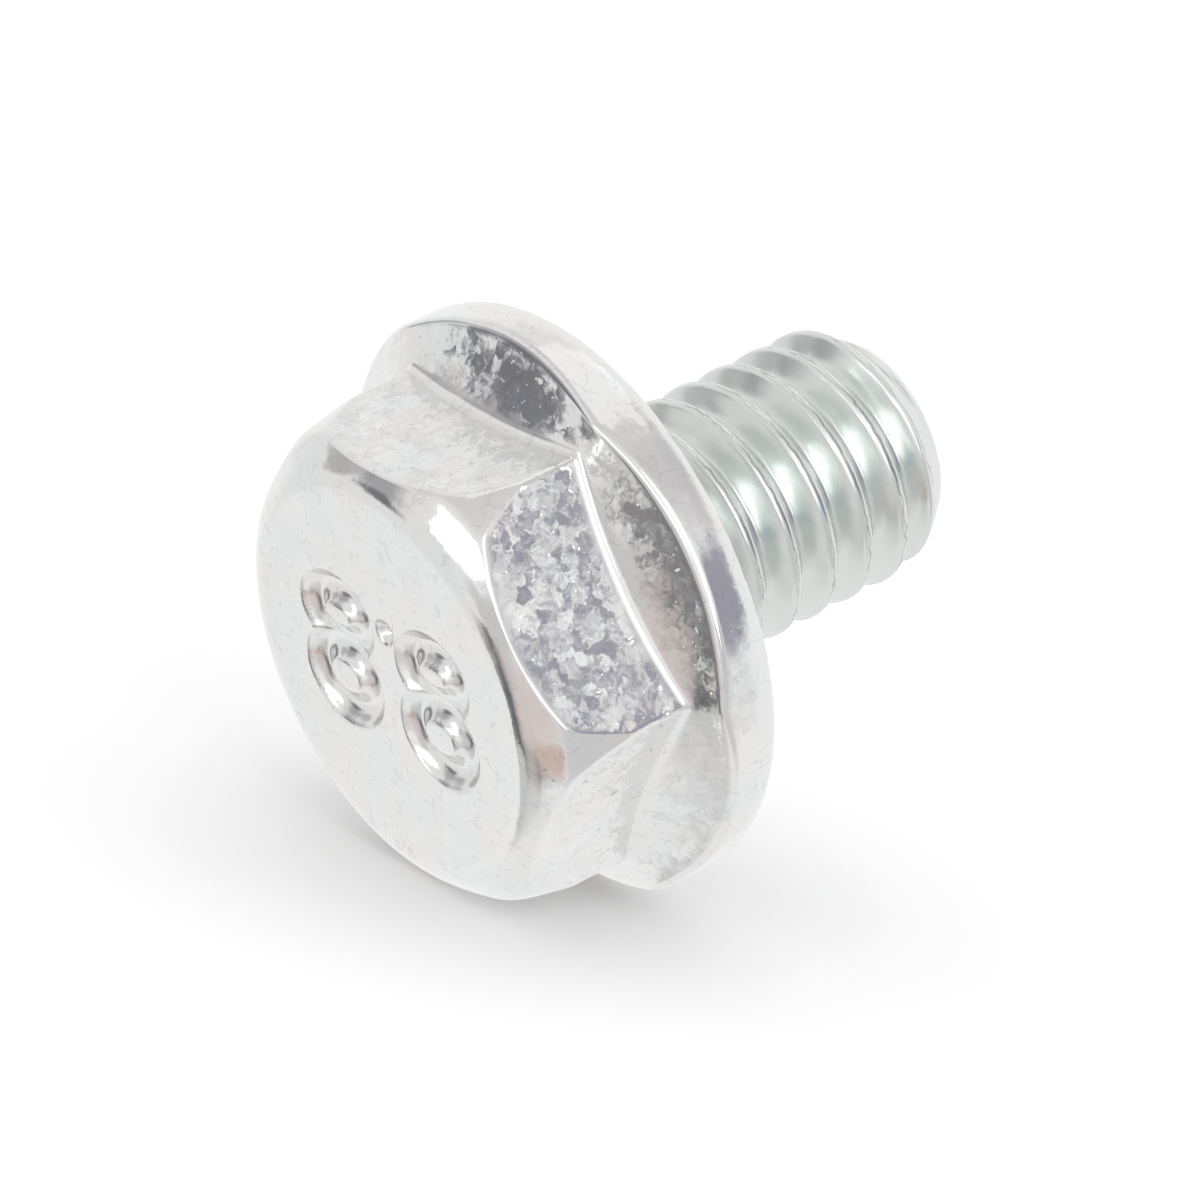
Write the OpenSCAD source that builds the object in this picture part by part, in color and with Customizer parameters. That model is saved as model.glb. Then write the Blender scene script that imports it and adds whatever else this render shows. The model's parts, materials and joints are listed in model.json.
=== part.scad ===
// Hexagon flange screw, headed and rolled from one piece of wire and threaded up to the head.
// It lies on its side, on one flat of the hexagon and on the rim of the flange.

/* [Shank] */
// Outer diameter of the thread
thread_d = 5.8; // [4:0.1:8]
// Length of the shank, from the bearing face to its end
shank_len = 8.1; // [6:0.1:30]
// Length of the tapered point
point_len = 0.9; // [0.5:0.1:1.5]
// Diameter of the end face
point_d = 4.4; // [3:0.1:5.5]
// Radius of the fillet under the head
neck_fillet = 0.4; // [0.2:0.05:0.8]

/* [Hexagon] */
// Width across flats
across_flats = 10; // [9.4:0.1:11]
// Height of the head, from the bearing face to its top
head_h = 5.5; // [4.8:0.1:8]
// Diameter of the flat top face
top_d = 9.3; // [8.4:0.1:9.6]
// Slope of the chamfer round the top face, in degrees
chamfer_angle = 40; // [25:1:45]
// How far a corner of the hexagon is drawn in where the chamfer ends
corner_cut = 0.27; // [0.15:0.01:0.35]
// How far below the top a corner has its full width
corner_drop = 2.15; // [1.6:0.05:2.4]
// Radius between the chamfer and a drawn-in corner
crown_edge_r = 1; // [0.2:0.1:1.2]

/* [Flange] */
// Diameter of the flange
flange_d = 13.3; // [13:0.1:16]
// Radius of the rim's edge at the bearing face
rim_edge_r = 0.6; // [0.2:0.05:0.8]
// Height of the rim in the middle of a facet
rim_h = 1.3; // [1:0.05:1.8]
// Height at which a facet meets the middle of its flat
facet_h = 2.2; // [2:0.05:3]
// Distance from the screw's axis to the axis of a facet's cone, on the far side: 0 gives one round cone
facet_offset = 6; // [0:0.5:12]

/* [Hidden] */
$fn = 96;

sides = 6;
flat_r = across_flats / 2;
corner_r = flat_r / cos(180 / sides);
top_r = top_d / 2;
flange_r = flange_d / 2;
thread_r = thread_d / 2;

// The crown is a chamfer that turns down, at its knee, into a steep cone through the hexagon's corners.
knee_r = corner_r - corner_cut;
knee_h = head_h - (knee_r - top_r) * tan(chamfer_angle);
corner_angle = atan2(knee_h - head_h + corner_drop, corner_cut);
half_turn = (corner_angle - chamfer_angle) / 2;
// The knee is rounded as far as the flats leave room for it.
knee_reach = min(crown_edge_r * tan(half_turn), (knee_r - flat_r) / cos(chamfer_angle));
knee_edge_r = knee_reach / tan(half_turn);
flat_end_h = head_h - max(0, flat_r - top_r) * tan(chamfer_angle);

// Each facet is a piece of a cone: its radius grows by this much for each millimetre down from the flat.
facet_spread = (flange_r - flat_r) / (facet_h - rim_h);
// The flange and the hexagon reach this far into each other, and cones this far past what they cut.
overlap = 0.3;

// At rest, the middle of a flat's outer end and the rim below it touch the floor.
tilt = atan2(flange_r - flat_r, flat_end_h - rim_h);
rest_h = flange_r * cos(tilt) + rim_h * sin(tilt);
tip_x = max(shank_len * cos(tilt) + point_d / 2 * sin(tilt),
            (shank_len - point_len) * cos(tilt) + thread_r * sin(tilt));
head_x = max(head_h * cos(tilt) + min(top_r, flat_r) * sin(tilt),
             flat_end_h * cos(tilt) + flat_r * sin(tilt));

// Outline of the crown, from the axis outwards: the knee is cut straight, and a circle fills it out to a round edge.
module crown_profile() {
    round_start = [knee_r - knee_reach * cos(chamfer_angle), knee_h + knee_reach * sin(chamfer_angle)];
    round_end = [knee_r + knee_reach * cos(corner_angle), knee_h - knee_reach * sin(corner_angle)];
    cone_end = [corner_r + overlap, head_h - corner_drop - overlap * tan(corner_angle)];
    polygon([
        [0, min(0, cone_end.y)],
        [0, head_h],
        [top_r, head_h],
        round_start,
        round_end,
        cone_end,
        [cone_end.x, min(0, cone_end.y)],
    ]);
    translate(round_start - knee_edge_r * [sin(chamfer_angle), cos(chamfer_angle)]) circle(knee_edge_r);
}

// Hexagon with its outer end and its corners rounded off by the crown
module hexagon() {
    intersection() {
        rotate_extrude() crown_profile();
        translate([0, 0, rim_h])
            rotate(180 / sides) cylinder(h = head_h, r = corner_r, $fn = sides);
    }
}

// Outline of the plain round flange that the facets are cut from
module rim_profile() {
    square([flange_r - rim_edge_r, facet_h + overlap]);
    translate([0, rim_edge_r]) square([flange_r, facet_h + overlap - rim_edge_r]);
    translate([flange_r - rim_edge_r, rim_edge_r]) circle(rim_edge_r);
}

// Cone whose side is the sloping facet below the flat that faces +X
module facet_cone() {
    base_r = facet_offset + flat_r + facet_h * facet_spread;
    cone_h = facet_h + 2 * overlap;
    translate([-facet_offset, 0, 0])
        cylinder(h = cone_h, r1 = base_r, r2 = base_r - cone_h * facet_spread);
}

// Flange with one facet below each flat, and a ridge between each two facets
module flange() {
    intersection() {
        rotate_extrude() rim_profile();
        intersection_for (side = [0 : sides - 1]) rotate(side * 360 / sides) facet_cone();
    }
}

// Outline of the shank with its point and the fillet under the head
module shank_profile() {
    polygon([
        [0, -shank_len],
        [point_d / 2, -shank_len],
        [thread_r, point_len - shank_len],
        [thread_r, overlap],
        [0, overlap],
    ]);
    translate([thread_r, -neck_fillet]) difference() {
        square(neck_fillet);
        translate([neck_fillet, 0]) circle(neck_fillet);
    }
}

module flange_screw() {
    color([0.80, 0.81, 0.80])
        translate([(head_x - tip_x) / 2, 0, rest_h])
            rotate([0, -90 - tilt, 0]) {
                hexagon();
                flange();
                rotate_extrude() shank_profile();
            }
}

flange_screw();
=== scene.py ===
import json
import math

import bpy
import numpy as np
from mathutils import Matrix, Vector


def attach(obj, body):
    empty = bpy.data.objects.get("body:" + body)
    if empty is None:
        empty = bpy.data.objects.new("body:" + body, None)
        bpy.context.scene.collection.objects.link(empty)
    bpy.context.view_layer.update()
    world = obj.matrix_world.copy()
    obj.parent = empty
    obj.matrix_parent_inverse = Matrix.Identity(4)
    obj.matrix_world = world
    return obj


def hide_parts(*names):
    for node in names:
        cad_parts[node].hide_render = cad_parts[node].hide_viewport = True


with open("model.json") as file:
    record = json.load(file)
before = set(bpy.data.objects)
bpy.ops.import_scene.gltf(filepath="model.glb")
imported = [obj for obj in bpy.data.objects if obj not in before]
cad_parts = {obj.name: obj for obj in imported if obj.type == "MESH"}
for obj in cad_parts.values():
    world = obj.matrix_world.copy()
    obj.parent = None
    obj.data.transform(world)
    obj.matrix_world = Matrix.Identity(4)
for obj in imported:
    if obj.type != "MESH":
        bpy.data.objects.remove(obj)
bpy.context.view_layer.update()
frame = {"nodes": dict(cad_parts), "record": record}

# Sizes are in millimetres and angles in degrees, in the screw's own frame. Heights run along its axis
# from the bearing face up to the head, and angle 0 is the hexagon's flat that lies on the floor.
MM = 0.001
NODE = "flange_screw"
SIDES = 6

# Hexagon
FLAT_R = 5.0
TOP_R = 4.65
TOP_EDGE_SOFT = 0.28
CHAMFER_SLOPE = math.tan(math.radians(40))
CORNER_CUT = 0.27
CORNER_DROP = 2.15
CORNER_SHARPNESS = 150
KNEE_SOFT = 0.25
CROWN_EDGE_SOFT = 0.08

# Flange
FACET_H = 2.2
FOOT_FALL = 0.40
FOOT_SOFT = 0.15
FACET_HOLLOW = 0.06
RIM_H = 1.3
RIDGE_RISE = 0.38
RIDGE_SOFT = 1.3
RIM_EDGE_SOFT = 0.16
BEARING_EDGE_SOFT = 0.75

# Rolled thread
PITCH = 1.0
CREST_HEIGHT = -2.684
CREST_LAND = 0.08
FLANK_SLOPE = math.tan(math.radians(60))
THREAD_DEPTH = 0.72
ROOT_SOFT = 0.50
CREST_SOFT = 0.03
BLANK_DROP = 0.26
NECK_SOFT = 0.4
RUNOUT_START = 0.35
RUNOUT_END = 1.5
POINT_LEN = 0.9
POINT_R = 2.2
POINT_SOFT = 0.06
POINT_EDGE_SOFT = 0.12
END_FLAT_R = 0.92 * POINT_R

# Strength mark: two numerals and the point between them, pressed into the top
NUMERAL_PLACES = ((-0.20, -1.59), (0.03, 1.70))
LOOP_OFFSETS = (-0.78, 0.76)
LOOP_RADII = ((0.62, 0.86), (0.77, 0.93))
POINT_PLACE = (-1.22, 0.15)
POINT_MARK_R = 0.30
STROKE_HALF = 0.42
MARK_DEPTH = 0.28

# Finish of each stretch: crystal grain, polish by rubbing, and rolled thread, each from 0 to 1
TOP_FINISH = (0.12, 0.2, 0.0)
CROWN_FINISH = (0.08, 0.7, 0.0)
EDGE_FINISH = (0.0, 1.0, 0.0)
FLAT_FINISH = (0.75, 0.2, 0.0)
FACET_FINISH = (0.35, 0.5, 0.0)
RIM_FINISH = (0.25, 0.4, 0.0)
THREAD_FINISH = (0.04, 0.1, 1.0)
END_FINISH = (0.15, 0.2, 0.0)

# Tints of the plating, its smears, and the painted shade of the groove along the thread's crest
COOL_ZINC = (0.84, 0.85, 0.85, 1)
WARM_ZINC = (0.86, 0.85, 0.84, 1)
THREAD_ZINC = (0.775, 0.81, 0.79, 1)
SMEAR_GREY = (0.30, 0.30, 0.31, 1)
SMEAR_STRENGTH = 0.21
# Painted shade: dark grey for the groove of the thread's crest seam, which is too fine for the mesh
CREST_GROOVE_SHADE_GREY = (0.30, 0.29, 0.29, 1)

# Mesh: columns round the axis, and rows of each stretch
COLUMNS = 276
CORNER_CROWDING = 0.7
TOP_ROWS = 84
CROWN_ROWS = 16
EDGE_ROWS = 6
FLAT_ROWS = 8
FOOT_ROWS = 8
FACET_ROWS = 10
RIM_ROWS = 4
BEARING_EDGE_ROWS = 9
BEARING_ROWS = 6
NECK_ROWS = 7
SHANK_ROWS = 172
END_ROWS = 6

# Studio, in metres and watts; a gap between its white screens is azimuth, elevation, inner and outer
# reach in degrees, and colour, and a later gap lies over an earlier one
FLOOR_HALF = 0.8
LAMP_DISTANCE = 0.30
SCREEN_WHITE = (0.95, 0.95, 0.95, 1)
FILL_WHITE = (1.03, 1.03, 1.03, 1)
SCREEN_GAPS = (
    (-90, -29, 26, 49, (0.68, 0.67, 0.67)),
    (-90, -3, 4, 13, (0.54, 0.61, 0.65)),
    (-60, 18, 9, 22, (0.37, 0.36, 0.42)),
    (-43, 59, 1, 36, (0.61, 0.60, 0.61)),
    (149, 64, 16, 61, (0.72, 0.71, 0.70)),
    (177, -48, 21, 27, (0.17, 0.17, 0.18)),
    (148, -62, 9, 16, (0.64, 0.64, 0.63)),
    (-160, -38, 1, 25, (0.72, 0.65, 0.63)),
    (-172, -15, 8, 17, (0.65, 0.64, 0.64)),
    (-172, -65, 3, 14, (0.58, 0.55, 0.53)),
    (177, -73, 9, 14, (0.66, 0.66, 0.65)),
    (-141, -52, 3, 8, (0.66, 0.52, 0.46)),
    (-2, -73, 15, 45, (0.90, 0.90, 0.90)),
    (133, 1, 33, 52, (0.84, 0.84, 0.84)),
    (119, 2, 5, 12, (0.50, 0.49, 0.49)),
    (139, 6, 5, 15, (0.42, 0.41, 0.42)),
    (138, -9, 5, 11, (0.20, 0.20, 0.22)),
)


def unit(vector):
    """The vector over its length."""
    return vector / np.linalg.norm(vector)


MOUNTS = {mount["name"]: mount for mount in frame["record"]["mounts"]}


def screw_frame():
    """Origin on the bearing face, the directions down (out of the lower flat), side and up as columns,
    and the head's height, from the part's mounts."""
    drive = np.array(MOUNTS["hexagon_drive"]["pos_m"])
    to_tip = unit(np.array(MOUNTS["shank"]["axis"]))
    head_len = np.dot(np.array(MOUNTS["bearing_face"]["pos_m"]) - drive, to_tip)
    origin = drive + head_len * to_tip
    up = -to_tip
    down = unit(np.array([up[2], 0.0, -up[0]]))
    down = down if down[2] < 0 else -down
    side = np.cross(up, down)
    return origin, np.stack([down, side, up], axis=1), head_len / MM


ORIGIN, DIRECTIONS, HEAD_H = screw_frame()


def solid_reach():
    """The flange's radius and the shank's length, in the screw's frame, from the solid's own points."""
    solid = frame["nodes"][NODE].data
    points = np.empty(len(solid.vertices) * 3)
    solid.vertices.foreach_get("co", points)
    on_screw = (points.reshape(-1, 3) - ORIGIN) @ DIRECTIONS / MM
    return np.hypot(on_screw[:, 0], on_screw[:, 1]).max(), -on_screw[:, 2].min()


FLANGE_R, SHANK_LEN = solid_reach()
THREAD_R = MOUNTS["shank"]["dims"]["r_mm"]
CORNER_R = FLAT_R / math.cos(math.pi / SIDES)
KNEE_R = CORNER_R - CORNER_CUT
KNEE_DROP = (KNEE_R - TOP_R) * CHAMFER_SLOPE
CORNER_SLOPE = (CORNER_DROP - KNEE_DROP) / CORNER_CUT


def soft_max(a, b, soft):
    """The larger of a and b, with the kink between them rounded over about soft."""
    return (a + b + np.sqrt((a - b) ** 2 + soft ** 2)) / 2


def soft_min(a, b, soft):
    """The smaller of a and b, with the kink between them rounded over about soft."""
    return (a + b - np.sqrt((a - b) ** 2 + soft ** 2)) / 2


def smooth_step(low, high, value):
    """0 below low, 1 above high, and the cubic 3t^2 - 2t^3 between them."""
    t = np.clip((value - low) / (high - low), 0, 1)
    return t * t * (3 - 2 * t)


def column_angles():
    """Angles of the grid's columns: even steps, drawn towards the corners by a sine of six periods."""
    even = 2 * math.pi * np.arange(COLUMNS) / COLUMNS
    return even + CORNER_CROWDING / SIDES * np.sin(SIDES * even)


def hexagon_radius(angle):
    """Radius of a hexagon with soft corners: flat radius over the p-norm of the cosines to the flats."""
    flats = np.arange(SIDES) * 2 * math.pi / SIDES
    reach = np.clip(np.cos(angle[:, None] - flats), 0, None)
    return FLAT_R / (reach ** CORNER_SHARPNESS).sum(axis=1) ** (1 / CORNER_SHARPNESS)


def crown_height(radius):
    """Height of the crown: the chamfer's straight slope or, where it is lower, the steep slope that runs
    through the corners, with a rounded knee between them."""
    chamfer = (radius - TOP_R) * CHAMFER_SLOPE
    corner = KNEE_DROP + (radius - KNEE_R) * CORNER_SLOPE
    return HEAD_H - soft_max(chamfer, corner, KNEE_SOFT)


def off_flat(angle):
    """Angle from the middle of the nearest flat, which turns over softly at the ridge."""
    half = math.pi / SIDES
    plain = np.abs((angle + half) % (2 * half) - half)
    return half - np.sqrt((half - plain) ** 2 + math.radians(RIDGE_SOFT) ** 2)


def facet_height(radius, angle, hexagon):
    """Height of the flange's facets: at each angle a straight slope from the hexagon's foot to the rim's
    edge, less a parabola that hollows it. The foot falls towards the corners, and the rim's edge rises
    towards the ridges."""
    foot = FACET_H - FOOT_FALL * (hexagon - FLAT_R)
    rim = RIM_H + RIDGE_RISE * (1 - np.cos(off_flat(angle))) / (1 - math.cos(math.pi / SIDES))
    along = (radius - hexagon) / (FLANGE_R - hexagon)
    hollow = 4 * FACET_HOLLOW * np.clip(along * (1 - along), 0, None)
    return foot + (rim - foot) * along - hollow


def thread_radius(angle, height):
    """Radius of the rolled thread: a straight flank from the crest's land, cut off softly at the crest
    and in a wide round root. The crest climbs one pitch a turn. Near the head the thread runs out to
    the blank."""
    phase = (height - CREST_HEIGHT) / PITCH - angle / (2 * math.pi)
    off_crest = np.abs(phase - np.round(phase)) * PITCH
    flank = (off_crest - CREST_LAND / 2) * FLANK_SLOPE
    drop = soft_max(soft_min(flank, THREAD_DEPTH, ROOT_SOFT), 0, CREST_SOFT)
    formed = smooth_step(RUNOUT_START, RUNOUT_END, -height)
    return THREAD_R - BLANK_DROP - (drop - BLANK_DROP) * formed


def stretch(start, end, count):
    """Rows of a straight stretch between two knots, both ends left out. A knot is a radius and a height
    for each column."""
    t = np.linspace(0, 1, count + 2)[1:-1, None]
    return [s + (e - s) * t for s, e in zip(start, end)]


def bend(before, knot, after, count):
    """Rows of a rounded corner: the quadratic Bezier curve from before to after, with the knot as pole."""
    t = np.linspace(0, 1, count)[:, None]
    s = 1 - t
    return [s ** 2 * b + 2 * t * s * k + t ** 2 * a for b, k, a in zip(before, knot, after)]


def toward(start, end, distance):
    """The point at that distance from start on the way to end."""
    length = np.hypot(end[0] - start[0], end[1] - start[1])
    return tuple(s + (e - s) * distance / length for s, e in zip(start, end))


def stack(parts):
    """Radius, height and finish of all rows, one under the other, from parts of rows and a finish."""
    radius = np.concatenate([rows[0] for rows, finish in parts])
    height = np.concatenate([rows[1] for rows, finish in parts])
    finishes = np.concatenate([np.tile(finish, (len(rows[0]), 1)) for rows, finish in parts])
    return radius, height, finishes


def loop_distance(x, y, centre, radii):
    """About how far a point is from an ellipse: its scaled radius less 1, over that radius's gradient."""
    tiny = 1e-6
    px = (x - centre[0]) / radii[0]
    py = (y - centre[1]) / radii[1]
    scaled = np.hypot(px, py) + tiny
    slope = np.hypot(px / radii[0], py / radii[1]) / scaled + tiny
    return np.abs(scaled - 1) / slope


def mark_depth(x, y):
    """Depth of the strength mark: a groove with a parabola as its section along two ellipses for each
    numeral, and a round dimple for the point."""
    nearest = np.full_like(x, np.inf)
    for place in NUMERAL_PLACES:
        for offset, radii in zip(LOOP_OFFSETS, LOOP_RADII):
            centre = (place[0] + offset, place[1])
            nearest = np.minimum(nearest, loop_distance(x, y, centre, radii))
    groove = np.clip(1 - (nearest / STROKE_HALF) ** 2, 0, 1)
    off_point = np.hypot(x - POINT_PLACE[0], y - POINT_PLACE[1])
    dimple = np.clip(1 - (off_point / POINT_MARK_R) ** 2, 0, 1)
    return MARK_DEPTH * np.maximum(groove, dimple)


def head_rows(angle):
    """Rows of the head from the top's middle to the neck: straight stretches with rounded corners
    between them, and curved ones on the crown and the facets."""
    flat = np.ones_like(angle)
    hexagon = hexagon_radius(angle)

    def facet(radius):
        """Radius and height of the facets, for a knot or for rows."""
        return radius, facet_height(radius, angle, hexagon)

    centre = (0 * flat, HEAD_H * flat)
    top_end = ((TOP_R - TOP_EDGE_SOFT) * flat, HEAD_H * flat)
    top_edge = (TOP_R * flat, HEAD_H * flat)
    crown_start_r = TOP_R + TOP_EDGE_SOFT
    crown_start = (crown_start_r * flat, crown_height(crown_start_r * flat))
    crown_t = np.linspace(0, 1, CROWN_ROWS)[:, None]
    crown_r = crown_start_r + (hexagon - crown_start_r) * crown_t
    crown_h = crown_height(crown_r)
    # The crown's last two rows give way to the bend of its edge
    crown_end = (crown_r[-3], crown_h[-3])
    crown_edge = (hexagon, crown_height(hexagon))
    foot = facet(hexagon)
    flat_start = toward(crown_edge, foot, CROWN_EDGE_SOFT)
    flat_end = toward(foot, crown_edge, FOOT_SOFT)

    facet_start = facet(hexagon + FOOT_SOFT)
    facet_end = facet((FLANGE_R - RIM_EDGE_SOFT) * flat)
    facet_t = np.linspace(0, 1, FACET_ROWS + 2)[1:-1, None]
    facets = facet(facet_start[0] + (facet_end[0] - facet_start[0]) * facet_t)
    rim_edge = facet(FLANGE_R * flat)
    bearing_edge = (FLANGE_R * flat, 0 * flat)
    neck = (THREAD_R * flat, 0 * flat)
    rim_start = toward(rim_edge, bearing_edge, RIM_EDGE_SOFT)
    rim_end = toward(bearing_edge, rim_edge, BEARING_EDGE_SOFT)
    bearing_start = toward(bearing_edge, neck, BEARING_EDGE_SOFT)
    bearing_end = toward(neck, bearing_edge, NECK_SOFT)
    return stack([
        (stretch(centre, top_end, TOP_ROWS), TOP_FINISH),
        (bend(top_end, top_edge, crown_start, EDGE_ROWS), CROWN_FINISH),
        ((crown_r[1:-3], crown_h[1:-3]), CROWN_FINISH),
        (bend(crown_end, crown_edge, flat_start, EDGE_ROWS), EDGE_FINISH),
        (stretch(flat_start, flat_end, FLAT_ROWS), FLAT_FINISH),
        (bend(flat_end, foot, facet_start, FOOT_ROWS), EDGE_FINISH),
        (facets, FACET_FINISH),
        (bend(facet_end, rim_edge, rim_start, EDGE_ROWS), EDGE_FINISH),
        (stretch(rim_start, rim_end, RIM_ROWS), RIM_FINISH),
        (bend(rim_end, bearing_edge, bearing_start, BEARING_EDGE_ROWS), RIM_FINISH),
        (stretch(bearing_start, bearing_end, BEARING_ROWS), RIM_FINISH),
    ])


def shank_rows(angle):
    """Rows of the shank from the neck to the middle of its end: the thread's radius or, where it is
    smaller, the point's cone."""
    flat = np.ones_like(angle)
    height = np.linspace(-NECK_SOFT, -SHANK_LEN + POINT_EDGE_SOFT, SHANK_ROWS)[:, None] * flat
    cone = POINT_R + (THREAD_R - POINT_R) * (height + SHANK_LEN) / POINT_LEN
    radius = soft_min(thread_radius(angle, height), cone, POINT_SOFT)
    neck_start = ((THREAD_R + NECK_SOFT) * flat, 0 * flat)
    neck = ((THREAD_R - BLANK_DROP) * flat, 0 * flat)
    end_edge = (POINT_R * flat, -SHANK_LEN * flat)
    end_start = (END_FLAT_R * flat, -SHANK_LEN * flat)
    end_centre = (0 * flat, -SHANK_LEN * flat)
    return stack([
        (bend(neck_start, neck, (radius[0], height[0]), NECK_ROWS), THREAD_FINISH),
        ((radius[1:-1], height[1:-1]), THREAD_FINISH),
        (bend((radius[-1], height[-1]), end_edge, end_start, END_ROWS), END_FINISH),
        (stretch(end_start, end_centre, END_ROWS), END_FINISH),
    ])


def screw_grid():
    """The screw's skin as a grid: profile rows from the top's middle to the end's middle, turned round
    the axis, with the strength mark sunk into the top."""
    angle = column_angles()
    head, shank = head_rows(angle), shank_rows(angle)
    radius, height, finishes = (np.concatenate(pair) for pair in zip(head, shank))
    x = radius * np.cos(angle)
    y = radius * np.sin(angle)
    on_top = height > HEAD_H - 1e-6
    height = np.where(on_top, height - mark_depth(x, y), height)
    return angle, np.stack([x, y, height], axis=-1), finishes


def grid_faces(rows):
    """Quads of a grid that closes on itself sideways, and a fan of triangles at each end round a pole."""
    column = np.arange(COLUMNS)
    following = (column + 1) % COLUMNS
    row = np.arange(rows - 1)[:, None] * COLUMNS
    below = row + COLUMNS
    quads = np.stack([row + column, below + column, below + following, row + following], axis=-1)
    top_pole, end_pole = rows * COLUMNS, rows * COLUMNS + 1
    last = (rows - 1) * COLUMNS
    top = np.stack([np.full(COLUMNS, top_pole), column, following], axis=-1)
    end = np.stack([np.full(COLUMNS, end_pole), last + following, last + column], axis=-1)
    return quads.reshape(-1, 4), top, end


def unroll(mesh, angle, points, rows, quad_corners):
    """UV map that unrolls the screw: u is the turn, once round, and v the height in pitches. A quad that
    closes the round takes the full turn on its far side."""
    corner = np.empty(len(mesh.loops), dtype=np.int32)
    mesh.loops.foreach_get("vertex_index", corner)
    step = np.append(np.tile(np.arange(COLUMNS) / COLUMNS, rows), [0, 0])[corner]
    quad_step = step[:quad_corners].reshape(-1, 4)
    closing = quad_step.max(axis=1) - quad_step.min(axis=1) > 0.5
    wraps = np.zeros(len(corner), dtype=bool)
    wraps[:quad_corners] = (closing[:, None] & (quad_step < 0.5)).ravel()
    u = np.append(np.tile(angle / (2 * math.pi), rows), [0, 0])[corner] + wraps
    v = points[corner, 2] / PITCH
    mesh.uv_layers.new(name="unrolled").uv.foreach_set("vector", np.stack([u, v], axis=-1).ravel())


def make_screw():
    """One closed mesh of head, flange and thread, with its unrolled UV map and its finishes."""
    angle, grid, finishes = screw_grid()
    rows = len(grid)
    top_pole = [[0, 0, HEAD_H - mark_depth(np.zeros(1), np.zeros(1))[0]]]
    end_pole = [[0, 0, -SHANK_LEN]]
    points = np.concatenate([grid.reshape(-1, 3), top_pole, end_pole])
    placed = ORIGIN + points * MM @ DIRECTIONS.T
    quads, top, end = grid_faces(rows)
    mesh = bpy.data.meshes.new("zinc_screw")
    mesh.from_pydata(placed.tolist(), [], quads.tolist() + top.tolist() + end.tolist())
    mesh.polygons.foreach_set("use_smooth", np.ones(len(mesh.polygons), dtype=bool))
    unroll(mesh, angle, points, rows, quads.size)
    finishes = np.concatenate([np.repeat(finishes, COLUMNS, axis=0), finishes[:1], finishes[-1:]])
    for name, values in zip(("grain", "polish", "thread"), finishes.T):
        attribute = mesh.attributes.new(name, "FLOAT", "POINT")
        attribute.data.foreach_set("value", np.ascontiguousarray(values))
    screw = bpy.data.objects.new("zinc_screw", mesh)
    bpy.context.scene.collection.objects.link(screw)
    return screw


def add(tree, kind, inputs=None, **settings):
    """A node with its settings, and inputs that are either values or another node's output."""
    node = tree.nodes.new(kind)
    for name, value in settings.items():
        setattr(node, name, value)
    for name, value in (inputs or {}).items():
        if isinstance(value, bpy.types.NodeSocket):
            tree.links.new(value, node.inputs[name])
        else:
            node.inputs[name].default_value = value
    return node


def math_node(tree, operation, first, second=0.0):
    """Result of a Math node."""
    return add(tree, "ShaderNodeMath", {0: first, 1: second}, operation=operation).outputs[0]


def vector_node(tree, operation, inputs, output=0):
    """Result of a Vector Math node."""
    return add(tree, "ShaderNodeVectorMath", inputs, operation=operation).outputs[output]


def ramp(tree, value, low, high, start=0.0, end=1.0):
    """A smooth step of value between low and high, from start to end."""
    inputs = {"Value": value, "From Min": low, "From Max": high, "To Min": start, "To Max": end}
    return add(tree, "ShaderNodeMapRange", inputs, interpolation_type="SMOOTHSTEP").outputs["Result"]


def blend_colour(tree, factor, first, second):
    """First where factor is 0, second where it is 1; the sockets are those of the node's colours."""
    inputs = {0: factor, 6: first, 7: second}
    return add(tree, "ShaderNodeMix", inputs, data_type="RGBA", blend_type="MIX").outputs[2]


def noise(tree, place, scale, detail, output="Fac", distortion=0.0):
    """One output of a noise texture."""
    inputs = {"Vector": place, "Scale": scale, "Detail": detail, "Distortion": distortion}
    return add(tree, "ShaderNodeTexNoise", inputs).outputs[output]


def sway(tree, colour, amount):
    """A texture's colour as a vector round zero: less one half, times the amount."""
    centred = vector_node(tree, "SUBTRACT", {0: colour, 1: (0.5, 0.5, 0.5)})
    return vector_node(tree, "SCALE", {0: centred, "Scale": amount})


def grain_normal(tree, place, wandered, grain, thread):
    """The face's normal, tilted by crystal grains and a few bright specks between them where the grain
    is, and by waves so wide that they only bend the reflections, which the thread lacks."""
    coarse = add(tree, "ShaderNodeTexVoronoi", {"Vector": wandered, "Scale": 3.2}).outputs["Color"]
    fine = noise(tree, wandered, 6.0, 3.0, "Color")
    speck = add(tree, "ShaderNodeTexVoronoi", {"Vector": wandered, "Scale": 5.0}).outputs
    spot = ramp(tree, speck["Distance"], 0.10, 0.20, 1.2, 0.0)
    wave = noise(tree, place, 1.1, 2.0, "Color")
    tilt = vector_node(tree, "ADD", {0: sway(tree, coarse, 0.18), 1: sway(tree, fine, 0.42)})
    tilt = vector_node(tree, "ADD", {0: tilt, 1: sway(tree, speck["Color"], spot)})
    tilt = vector_node(tree, "SCALE", {0: tilt, "Scale": grain})
    wave = sway(tree, wave, ramp(tree, thread, 0.0, 1.0, 0.11, 0.0))
    tilt = vector_node(tree, "ADD", {0: tilt, 1: wave})
    face = add(tree, "ShaderNodeNewGeometry").outputs["Normal"]
    return vector_node(tree, "NORMALIZE", {0: vector_node(tree, "ADD", {0: face, 1: tilt})})


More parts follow.
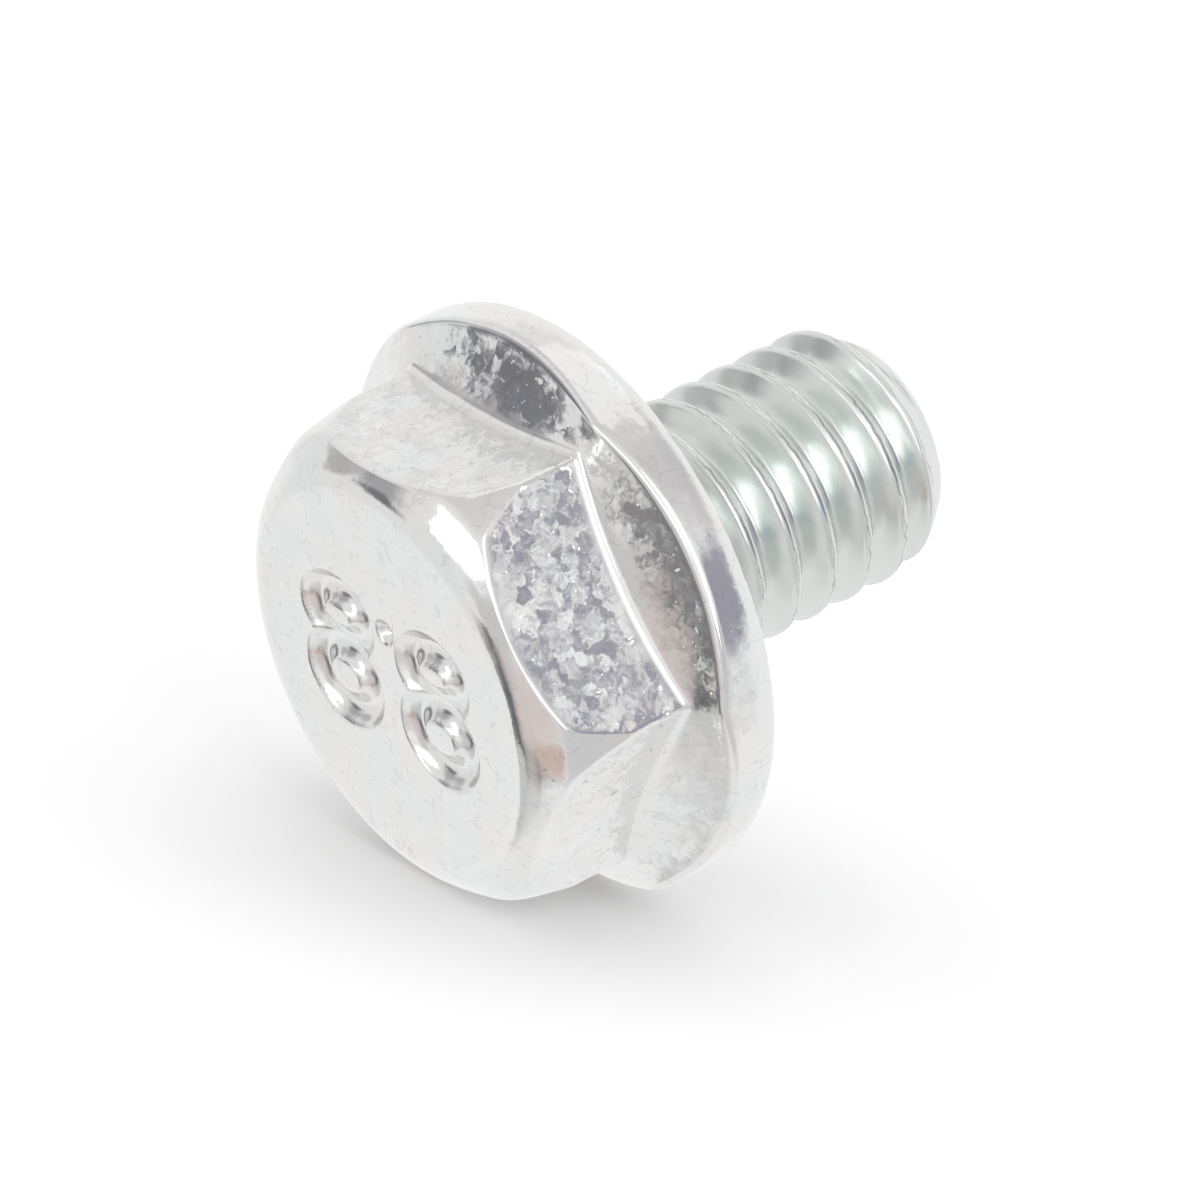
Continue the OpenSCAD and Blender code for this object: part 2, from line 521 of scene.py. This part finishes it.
def smears(tree, place, wandered, patchy, thread):
    """Smears and scratches, which the thread lacks: short pieces of the borders between cells and of a
    noise's middle contour."""
    cells = {"Vector": wandered, "Scale": 1.5}
    border = add(tree, "ShaderNodeTexVoronoi", cells, feature="DISTANCE_TO_EDGE").outputs["Distance"]
    border = ramp(tree, border, 0.010, 0.065, 0.8, 0.0)
    border = math_node(tree, "MULTIPLY", border, ramp(tree, patchy, 0.50, 0.66))
    contour = math_node(tree, "SUBTRACT", noise(tree, place, 1.3, 3.0, distortion=0.7), 0.5)
    contour = ramp(tree, math_node(tree, "ABSOLUTE", contour), 0.003, 0.024, 0.8, 0.0)
    contour = math_node(tree, "MULTIPLY", contour, ramp(tree, patchy, 0.42, 0.52, 1.0, 0.0))
    line = math_node(tree, "MAXIMUM", border, contour)
    return math_node(tree, "MULTIPLY", line, math_node(tree, "SUBTRACT", 1.0, thread))


def crest_groove_shade(tree, place, patchy, thread):
    """Painted shade along the ragged seam that the rolls leave on the thread's crest, where the height in
    pitches less the turn is that of the crest: a dark line that stands for the shade in the seam's groove,
    which is too fine for the mesh."""
    unrolled = add(tree, "ShaderNodeUVMap", uv_map="unrolled").outputs["UV"]
    unrolled = add(tree, "ShaderNodeSeparateXYZ", {0: unrolled}).outputs
    phase = math_node(tree, "SUBTRACT", unrolled["Y"], unrolled["X"])
    phase = math_node(tree, "SUBTRACT", phase, CREST_HEIGHT / PITCH)
    ragged = ramp(tree, noise(tree, place, 3.5, 4.0), 0.25, 0.75, -0.035, 0.035)
    off_crest = math_node(tree, "PINGPONG", math_node(tree, "ADD", phase, ragged), 0.5)
    # Painted shade, strongest on the seam's line and only on the thread
    groove_shade = math_node(tree, "MULTIPLY", ramp(tree, off_crest, 0.010, 0.036, 0.6, 0.0), thread)
    return math_node(tree, "MULTIPLY", groove_shade, ramp(tree, patchy, 0.35, 0.60, 0.4, 1.0))


def bright_zinc():
    """Bright zinc plating: a metal whose normal tilts with its crystal grain, with soft smears, cloudy
    tints, painted shade as a dark line in the groove on the thread's crest, and less roughness where it is
    polished."""
    material = bpy.data.materials.new("bright_zinc")
    material.use_nodes = True
    tree = material.node_tree
    shader = tree.nodes["Principled BSDF"]
    shader.inputs["Metallic"].default_value = 1.0

    place = add(tree, "ShaderNodeTexCoord").outputs["Object"]
    place = add(tree, "ShaderNodeMapping", {"Vector": place, "Scale": (1 / MM,) * 3}).outputs["Vector"]
    grain, polish, thread = (add(tree, "ShaderNodeAttribute", attribute_name=name).outputs["Fac"]
                             for name in ("grain", "polish", "thread"))
    wander = sway(tree, noise(tree, place, 3.0, 3.0, "Color"), 0.55)
    wandered = vector_node(tree, "ADD", {0: place, 1: wander})
    patchy = noise(tree, place, 1.6, 4.0)
    smear = smears(tree, place, wandered, patchy, thread)
    # Painted shade along the thread's crest seam
    groove_shade = crest_groove_shade(tree, place, patchy, thread)

    cloud = noise(tree, place, 0.7, 2.0)
    tint = blend_colour(tree, ramp(tree, cloud, 0.35, 0.65), COOL_ZINC, WARM_ZINC)
    tint = blend_colour(tree, thread, tint, THREAD_ZINC)
    tint = blend_colour(tree, math_node(tree, "MULTIPLY", smear, SMEAR_STRENGTH), tint, SMEAR_GREY)
    # Painted shade of the crest seam's groove, laid into the base colour
    tint = blend_colour(tree, groove_shade, tint, CREST_GROOVE_SHADE_GREY)
    tree.links.new(tint, shader.inputs["Base Color"])

    rough = ramp(tree, patchy, 0.3, 0.7, 0.13, 0.20)
    rough = math_node(tree, "MULTIPLY", rough, ramp(tree, polish, 0.0, 1.0, 1.0, 0.45))
    rough = math_node(tree, "MULTIPLY", rough, ramp(tree, thread, 0.0, 1.0, 1.0, 1.4))
    tree.links.new(rough, shader.inputs["Roughness"])

    normal = grain_normal(tree, place, wandered, grain, thread)
    tree.links.new(normal, shader.inputs["Normal"])
    return material


def pale_floor():
    """A plain white floor that takes the screw's shadow; the metal mirrors the studio's screens instead."""
    corners = [(-1, -1), (1, -1), (1, 1), (-1, 1)]
    mesh = bpy.data.meshes.new("floor")
    mesh.from_pydata([(x * FLOOR_HALF, y * FLOOR_HALF, 0) for x, y in corners], [], [(0, 1, 2, 3)])
    material = bpy.data.materials.new("white_paper")
    material.use_nodes = True
    paper = material.node_tree.nodes["Principled BSDF"].inputs
    paper["Base Color"].default_value = (0.96, 0.96, 0.96, 1)
    paper["Roughness"].default_value = 1.0
    paper["Specular IOR Level"].default_value = 0.0
    mesh.materials.append(material)
    floor = bpy.data.objects.new("floor", mesh)
    floor.visible_glossy = False
    bpy.context.scene.collection.objects.link(floor)


def direction(azimuth, elevation):
    """Unit vector at that azimuth from +X and that height above the horizon."""
    a, e = math.radians(azimuth), math.radians(elevation)
    return (math.cos(e) * math.cos(a), math.cos(e) * math.sin(a), math.sin(e))


def white_studio():
    """White all round for the camera and for light, and for reflections white with darker gaps in it:
    round patches that fade out between their inner and outer reach."""
    world = bpy.data.worlds.new("white_studio")
    world.use_nodes = True
    bpy.context.scene.world = world
    tree = world.node_tree
    tree.nodes.clear()
    outward = add(tree, "ShaderNodeTexCoord").outputs["Generated"]
    screens = SCREEN_WHITE
    for azimuth, elevation, inner, outer, gap in SCREEN_GAPS:
        middle = direction(azimuth, elevation)
        along = vector_node(tree, "DOT_PRODUCT", {0: outward, 1: middle}, output=1)
        inside = ramp(tree, along, math.cos(math.radians(outer)), math.cos(math.radians(inner)))
        screens = blend_colour(tree, inside, screens, (*gap, 1))
    rays = add(tree, "ShaderNodeLightPath").outputs
    colour = blend_colour(tree, rays["Is Glossy Ray"], FILL_WHITE, screens)
    colour = blend_colour(tree, rays["Is Camera Ray"], colour, (1, 1, 1, 1))
    light = add(tree, "ShaderNodeBackground", {"Color": colour, "Strength": 1.0}).outputs["Background"]
    add(tree, "ShaderNodeOutputWorld", {"Surface": light})


def soft_box(name, azimuth, elevation, width, height, watts):
    """A soft light, as wide and as high as given, that looks at the screw."""
    lamp = bpy.data.lights.new(name, "AREA")
    lamp.shape = "RECTANGLE"
    lamp.size = width
    lamp.size_y = height
    lamp.energy = watts
    light = bpy.data.objects.new(name, lamp)
    place = Vector(direction(azimuth, elevation)) * LAMP_DISTANCE
    turn = place.to_track_quat("Z", "Y").to_matrix().to_4x4()
    light.matrix_world = Matrix.Translation(place) @ turn
    bpy.context.scene.collection.objects.link(light)


def photo_camera():
    """The photograph's camera, for a square picture. Azimuth 0 looks along +Y, and the roll turns the
    picture about the line of sight."""
    aim = Vector((-0.655, -0.396, 6.297)) * MM
    distance = 200 * MM
    azimuth, elevation, roll = 42.322, 15.859, 12.098
    lens, sensor = 278.9, 36.0
    camera = bpy.data.cameras.new("camera")
    camera.lens = lens
    camera.sensor_width = sensor
    camera.clip_start = 10 * MM
    eye = bpy.data.objects.new("camera", camera)
    back = Vector(direction(-90 - azimuth, elevation))
    turn = back.to_track_quat("Z", "Y").to_matrix().to_4x4()
    turn = turn @ Matrix.Rotation(math.radians(roll), 4, "Z")
    eye.matrix_world = Matrix.Translation(aim + back * distance) @ turn
    bpy.context.scene.collection.objects.link(eye)
    bpy.context.scene.camera = eye


photo_camera()
screw = make_screw()
screw.data.materials.append(bright_zinc())
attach(screw, "root")
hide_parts(NODE)
pale_floor()
white_studio()
soft_box("overhead", 60, 75, width=0.20, height=0.20, watts=0.03)
soft_box("left_strip", -168, 8, width=0.32, height=0.060, watts=0.08)
soft_box("front_panel", -110, 22, width=0.14, height=0.28, watts=0.14)
bpy.context.scene.view_settings.view_transform = "Standard"
